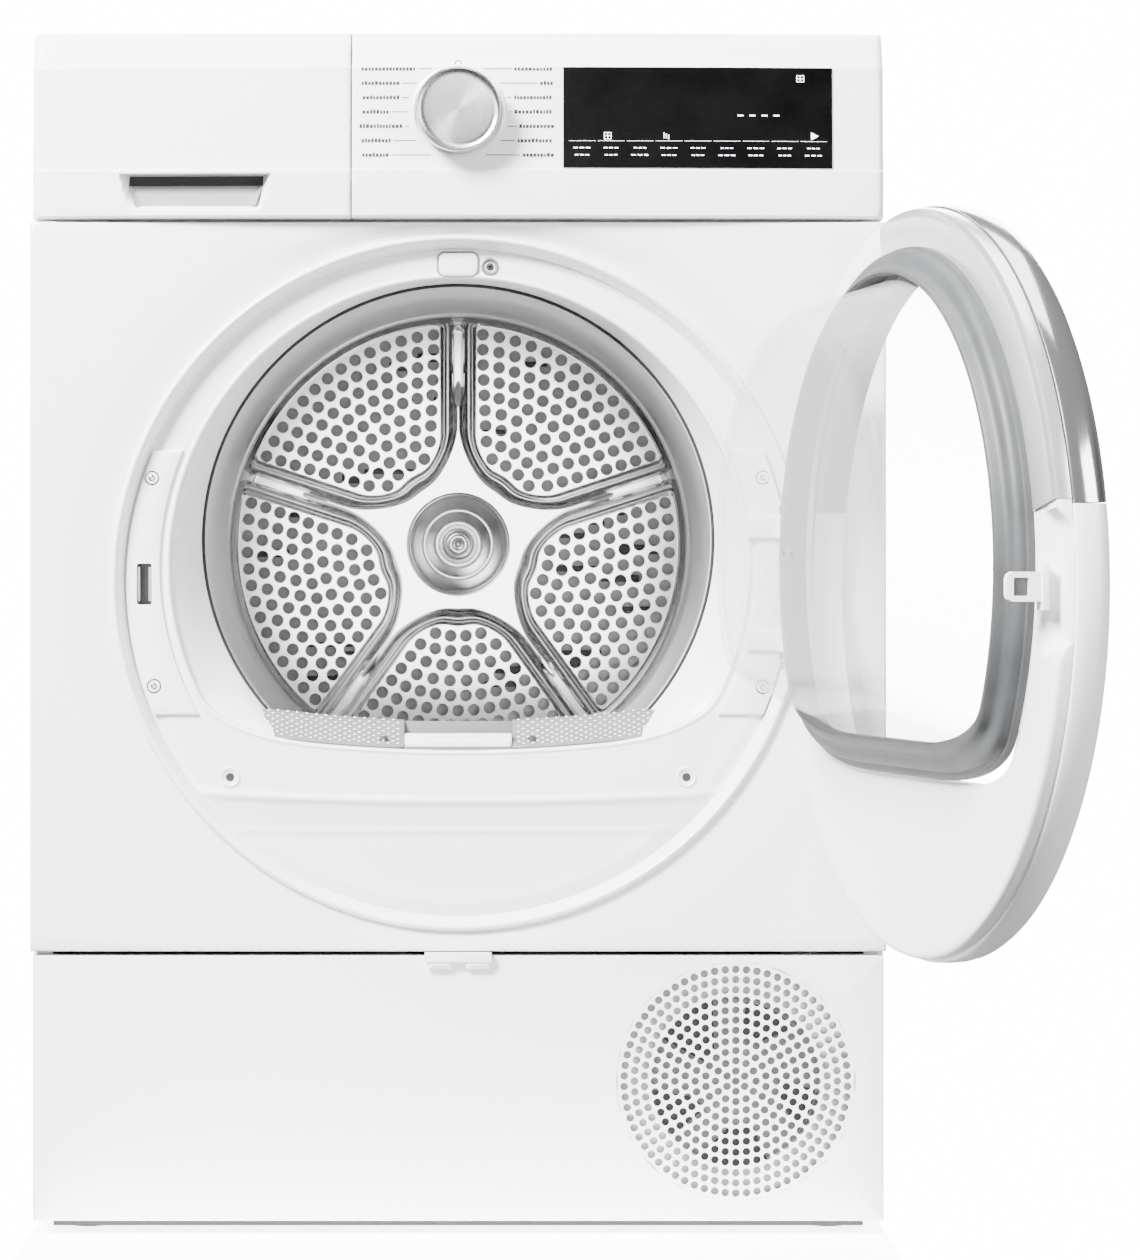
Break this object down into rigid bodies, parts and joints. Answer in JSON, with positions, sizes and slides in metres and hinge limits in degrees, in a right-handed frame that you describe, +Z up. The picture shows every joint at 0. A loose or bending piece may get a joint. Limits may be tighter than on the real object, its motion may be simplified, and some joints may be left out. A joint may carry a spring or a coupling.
{
  "type": "clothes dryer",
  "caption": "White front-loading clothes dryer with a round glass door swung open, a steel drum, a dial and display, a water drawer and a perforated vent.",
  "frame": {"origin": "underside centre of the front left foot, on the floor", "axes": "+X to the dryer's right as seen from the front, +Y towards its rear, +Z up"},
  "size_m": [0.6844, 1.0613, 0.842],
  "materials": {
    "enamel": "gloss white enamel",
    "laminate": "gloss white laminate on board",
    "white_plastic": "satin white",
    "silver_trim": "satin silver",
    "stainless": "brushed",
    "polished_steel": "polished",
    "galvanised": "matt galvanised",
    "aluminium": "fins",
    "copper": "drawn copper tube",
    "display_glass": "gloss black",
    "clear_glass": "clear",
    "gasket_rubber": "grey",
    "black_rubber": "black",
    "felt": "dark felt",
    "grey_plastic": "light grey",
    "dark_plastic": "dark grey",
    "tank_plastic": "milky",
    "black_enamel": "black paint"
  },
  "bodies": {
    "cabinet": {"base_tray": "grey_plastic", "side_panel_left": "enamel", "side_panel_right": "enamel", "worktop": "laminate", "front_panel": "enamel", "kick_panel": "enamel", "kick_panel_clip": "white_plastic", "rear_panel": "galvanised", "rear_duct_cover": "galvanised", "front_bulkhead": "galvanised", "drum_bearing": "polished_steel", "drum_seal": "felt", "drive_motor": "galvanised", "drive_belt": "black_rubber", "compressor": "black_enamel", "evaporator": "aluminium", "condenser": "aluminium", "refrigerant_pipes": "copper", "cooling_fan_frame": "dark_plastic", "control_panel": "white_plastic", "display_window": "display_glass", "control_module": "dark_plastic", "door_surround": "white_plastic", "lock_plate": "white_plastic", "hinge_plate": "white_plastic", "hinge_pin": "polished_steel", "door_lock": "grey_plastic", "lamp_lens": "clear_glass", "filter_chute": "grey_plastic"},
    "door": {"door_frame": "white_plastic", "door_cover": "white_plastic", "door_trim": "silver_trim", "door_window": "clear_glass", "door_bowl": "clear_glass", "door_gasket": "gasket_rubber", "door_hinge": "polished_steel", "door_hook": "white_plastic"},
    "drum": {"drum_shell": "stainless", "drum_front": "stainless", "drum_back": "stainless", "drum_hub": "polished_steel", "drum_lifter_1": "grey_plastic", "drum_lifter_2": "grey_plastic", "drum_lifter_3": "grey_plastic"},
    "motor_rotor": {"motor_shaft": "polished_steel", "process_fan": "dark_plastic"},
    "roller_left": {"support_roller_left": "black_rubber"},
    "roller_right": {"support_roller_right": "black_rubber"},
    "cooling_rotor": {"cooling_fan_rotor": "dark_plastic"},
    "knob": {"program_knob": "silver_trim"},
    "water_drawer": {"drawer_front": "white_plastic", "tank_body": "tank_plastic", "tank_lid": "tank_plastic"},
    "lint_filter": {"filter_frame": "grey_plastic", "filter_screen": "grey_plastic", "filter_grip": "white_plastic"},
    "foot_a": {"foot_front_left": "dark_plastic"},
    "foot_b": {"foot_front_right": "dark_plastic"},
    "foot_c": {"foot_rear_left": "dark_plastic"},
    "foot_d": {"foot_rear_right": "dark_plastic"}
  },
  "joints": [
    {"name": "door_hinge", "type": "hinge", "parent": "cabinet", "child": "door", "pos_m": [0.4895, -0.0521, 0.456], "axis": [0, 0, 1], "range_deg": [-105, 0]},
    {"name": "drum_spin", "type": "hinge", "parent": "cabinet", "child": "drum", "pos_m": [0.262, 0.225, 0.486], "axis": [0, 1, 0], "continuous": true},
    {"name": "motor_spin", "type": "hinge", "parent": "cabinet", "child": "motor_rotor", "pos_m": [0.112, 0.305, 0.115], "axis": [0, 1, 0], "continuous": true},
    {"name": "roller_left_spin", "type": "hinge", "parent": "cabinet", "child": "roller_left", "pos_m": [0.08683, 0.036, 0.23583], "axis": [0, 1, 0], "continuous": true},
    {"name": "roller_right_spin", "type": "hinge", "parent": "cabinet", "child": "roller_right", "pos_m": [0.43717, 0.036, 0.23583], "axis": [0, 1, 0], "continuous": true},
    {"name": "cooling_fan_spin", "type": "hinge", "parent": "cabinet", "child": "cooling_rotor", "pos_m": [0.456, -0.022, 0.1076], "axis": [0, 1, 0], "continuous": true},
    {"name": "program_knob_turn", "type": "hinge", "parent": "cabinet", "child": "knob", "pos_m": [0.262, -0.07, 0.7835], "axis": [0, 1, 0], "continuous": true},
    {"name": "water_drawer_slide", "type": "slide", "parent": "cabinet", "child": "water_drawer", "axis": [0, -1, 0], "range_m": [0, 0.4]},
    {"name": "lint_filter_lift", "type": "slide", "parent": "cabinet", "child": "lint_filter", "axis": [0, 0, 1], "range_m": [0, 0.16]},
    {"name": "foot_front_left_level", "type": "slide", "parent": "cabinet", "child": "foot_a", "axis": [0, 0, 1], "range_m": [-0.01, 0]},
    {"name": "foot_front_right_level", "type": "slide", "parent": "cabinet", "child": "foot_b", "axis": [0, 0, 1], "range_m": [-0.01, 0]},
    {"name": "foot_rear_left_level", "type": "slide", "parent": "cabinet", "child": "foot_c", "axis": [0, 0, 1], "range_m": [-0.01, 0]},
    {"name": "foot_rear_right_level", "type": "slide", "parent": "cabinet", "child": "foot_d", "axis": [0, 0, 1], "range_m": [-0.01, 0]}
  ],
  "couplings": [
    {"joint": "motor_spin", "follows": "drum_spin", "ratio": 27.047},
    {"joint": "roller_left_spin", "follows": "drum_spin", "ratio": -15.944},
    {"joint": "roller_right_spin", "follows": "drum_spin", "ratio": -15.944}
  ]
}
